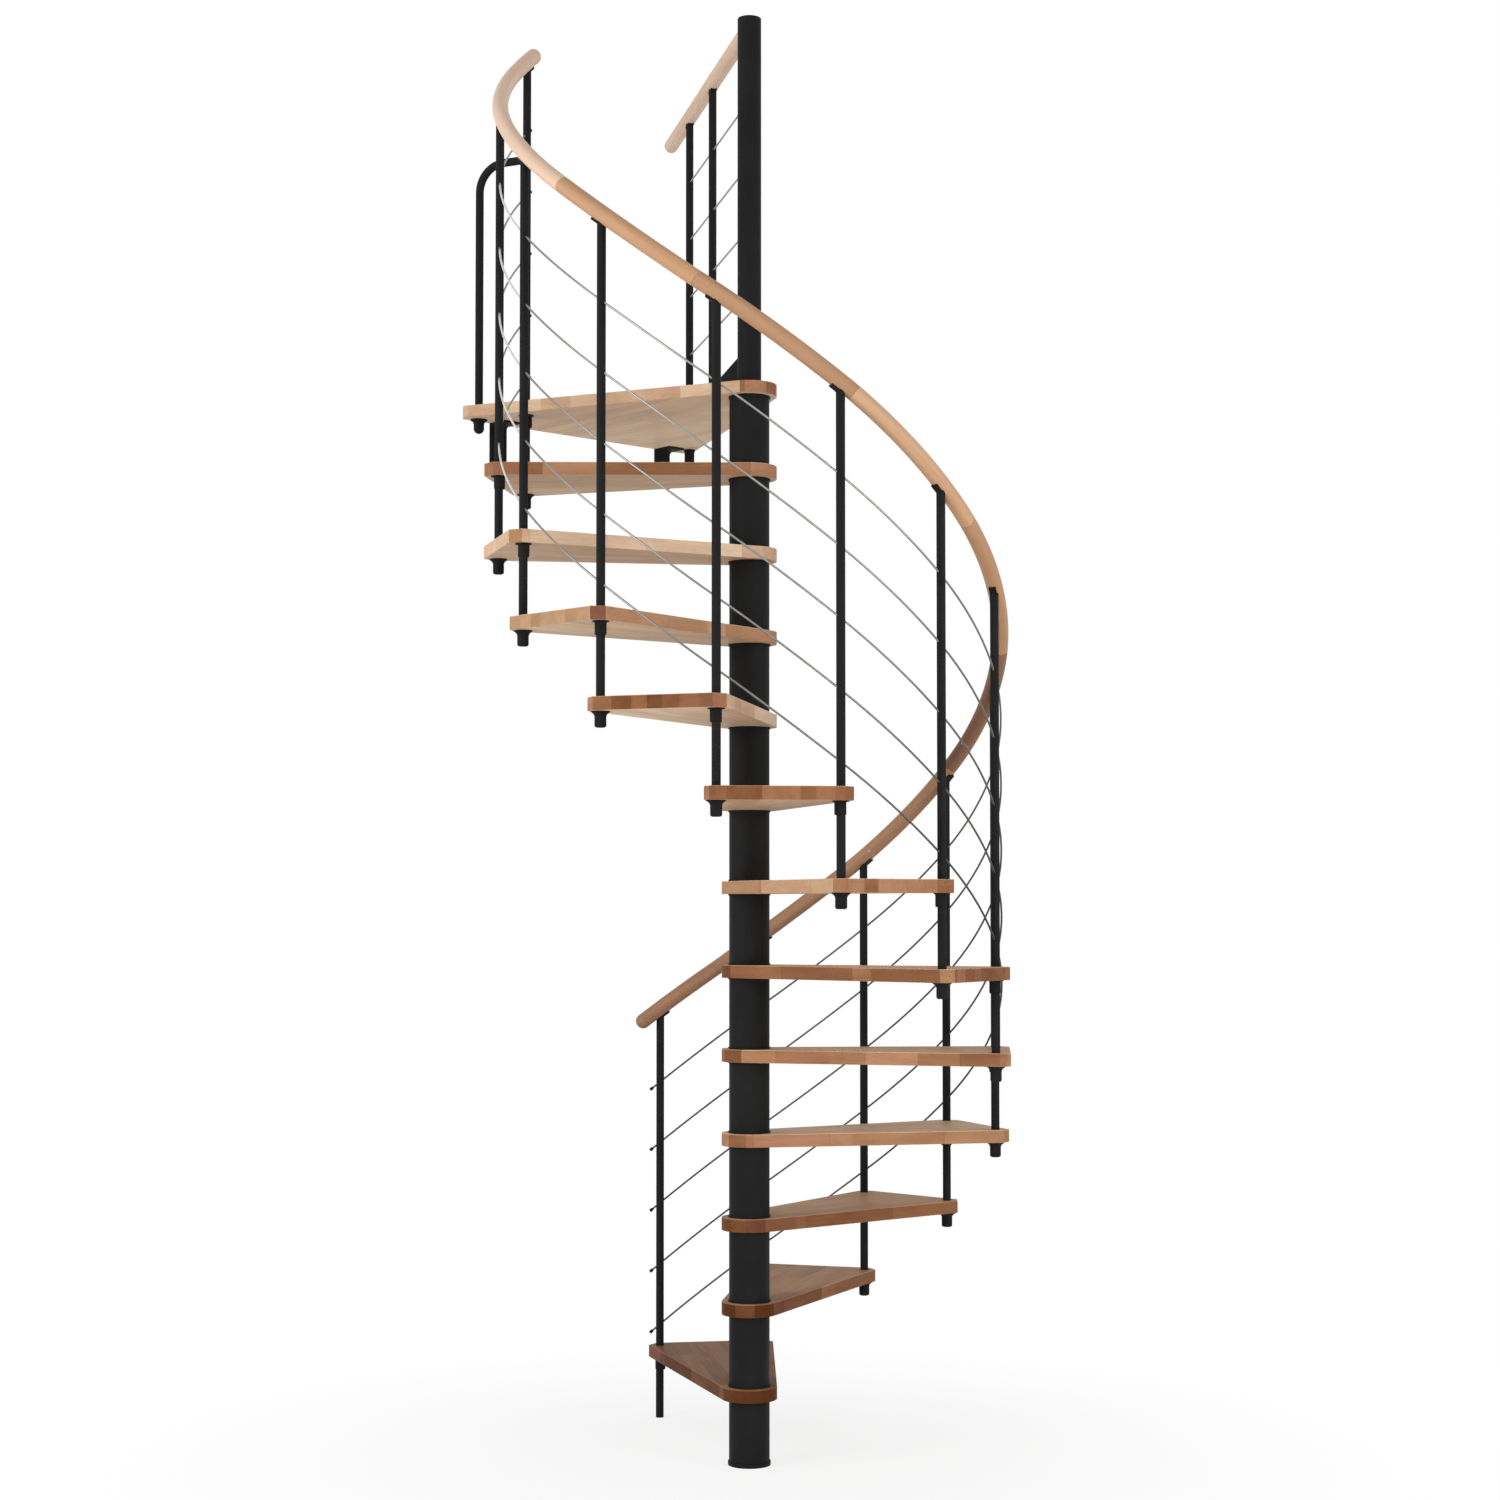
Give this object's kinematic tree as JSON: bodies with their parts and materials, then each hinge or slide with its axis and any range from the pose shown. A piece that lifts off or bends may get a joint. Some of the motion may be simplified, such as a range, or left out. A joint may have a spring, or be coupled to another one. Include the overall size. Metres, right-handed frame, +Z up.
{
  "type": "spiral staircase",
  "caption": "Spiral staircase with wooden wedge treads on a steel column, drilled black balusters, thin guard rods, a curved round handrail and a railed landing.",
  "frame": {"origin": "centre of the underside of the column's base flange", "axes": "+Z up along the column, -Y towards the viewer, the climb runs clockwise seen from above"},
  "size_m": [1.4223, 1.6812, 3.6692],
  "materials": {
    "tread_wood": "satin",
    "rail_wood": "satin",
    "black_steel": "satin",
    "steel_rod": "brushed",
    "black_plastic": "matte"
  },
  "bodies": {
    "root": {"base_plate": "black_steel", "core_tube": "black_steel", "column_sleeves": "black_steel", "tread_01": "tread_wood", "tread_02": "tread_wood", "tread_03": "tread_wood", "tread_04": "tread_wood", "tread_05": "tread_wood", "tread_06": "tread_wood", "tread_07": "tread_wood", "tread_08": "tread_wood", "tread_09": "tread_wood", "tread_10": "tread_wood", "tread_11": "tread_wood", "tread_12": "tread_wood", "landing": "tread_wood", "balusters": "black_steel", "post_collars": "black_plastic", "post_end_caps": "black_plastic", "handrail": "rail_wood", "handrail_saddles": "black_steel", "guard_rod_1": "steel_rod", "guard_rod_2": "steel_rod", "guard_rod_3": "steel_rod", "guard_rod_4": "steel_rod", "guard_rod_5": "steel_rod", "rod_end_caps": "black_plastic", "newel_post": "black_steel", "newel_cap": "black_plastic", "newel_gusset": "black_steel", "guard_posts": "black_steel", "guard_handrail": "rail_wood", "guard_saddles": "black_steel", "guard_post_caps": "black_plastic", "landing_rods": "steel_rod", "landing_hoop": "black_steel", "slab_brackets": "black_steel"}
  },
  "joints": []
}
